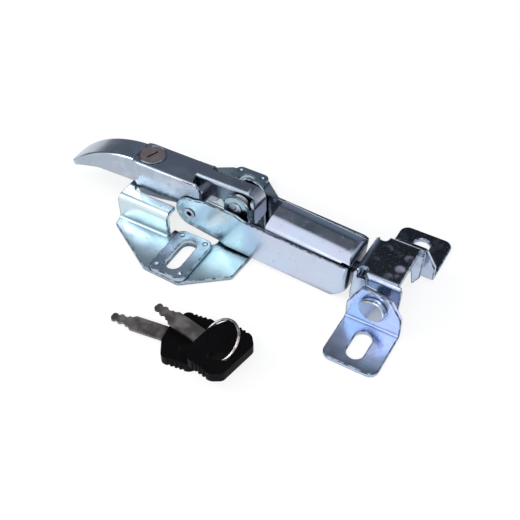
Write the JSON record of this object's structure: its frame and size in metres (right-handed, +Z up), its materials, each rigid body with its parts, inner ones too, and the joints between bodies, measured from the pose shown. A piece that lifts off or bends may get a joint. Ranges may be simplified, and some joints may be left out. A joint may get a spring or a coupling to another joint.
{
  "type": "hood draw latch",
  "caption": "Over-centre draw latch with a lockable curved handle, sprung draw link, hook and striker, and loose keys for its lock",
  "frame": {"origin": "midway between the two slots of the base plate, on the plate's underside", "axes": "X along the latch from the grip towards the striker, Y across it towards the back, Z up from the mounting plane"},
  "size_m": [0.263, 0.1792, 0.0443],
  "materials": {
    "zinc_plate": "bright blue-white zinc plate on pressed sheet steel",
    "dark_plate": "dark zinc plate on pressed sheet steel",
    "steel": "plated steel",
    "lock_metal": "dull die-cast zinc",
    "key_steel": "nickel-plated brass gone dull",
    "key_plastic": "satin black moulded plastic"
  },
  "bodies": {
    "frame": {"base_plate": "zinc_plate", "front_pad": "zinc_plate", "rear_pad": "zinc_plate", "pivot_bracket": "zinc_plate", "pivot_pin": "steel", "pivot_bush": "steel", "torsion_spring": "steel", "striker_front": "zinc_plate", "striker_rear": "zinc_plate", "striker_pin": "zinc_plate"},
    "handle": {"handle": "zinc_plate", "lock_seat": "zinc_plate", "lock_barrel": "lock_metal", "lock_clip": "steel", "link_pin": "steel"},
    "lock": {"lock_plug": "lock_metal", "lock_cam": "zinc_plate", "cam_screw": "steel"},
    "link": {"draw_link": "zinc_plate", "spring_cover": "zinc_plate", "draw_spring": "steel"},
    "hook": {"hook": "dark_plate", "draw_bolt": "steel", "spring_washer": "zinc_plate", "adjusting_nut": "steel", "locknut": "steel"},
    "keys": {"key_1_blade": "key_steel", "key_1_head": "key_plastic", "key_2_blade": "key_steel", "key_2_head": "key_plastic", "key_ring": "steel"}
  },
  "joints": [
    {"name": "handle_pivot", "type": "hinge", "parent": "frame", "child": "handle", "pos_m": [0.025, 0, 0.0354], "axis": [0, 1, 0], "range_deg": [0, 95], "deforming": ["torsion_spring"]},
    {"name": "link_swing", "type": "hinge", "parent": "handle", "child": "link", "pos_m": [-0.0075, 0, 0.0202], "axis": [0, 1, 0], "range_deg": [-124, 0]},
    {"name": "draw_slide", "type": "slide", "parent": "link", "child": "hook", "axis": [0.998, 0, -0.0628], "range_m": [0, 0.004], "deforming": ["draw_spring"]},
    {"name": "lock_turn", "type": "hinge", "parent": "handle", "child": "lock", "pos_m": [-0.0448, 0, 0.0433], "axis": [0, 0, 1], "range_deg": [0, 90]},
    {"name": "keys_lift", "type": "slide", "parent": "frame", "child": "keys", "axis": [0, 0, 1], "range_m": [0, 0.06]}
  ],
  "couplings": [
    {"joint": "link_swing", "follows": "handle_pivot", "ratio": -1.3}
  ]
}
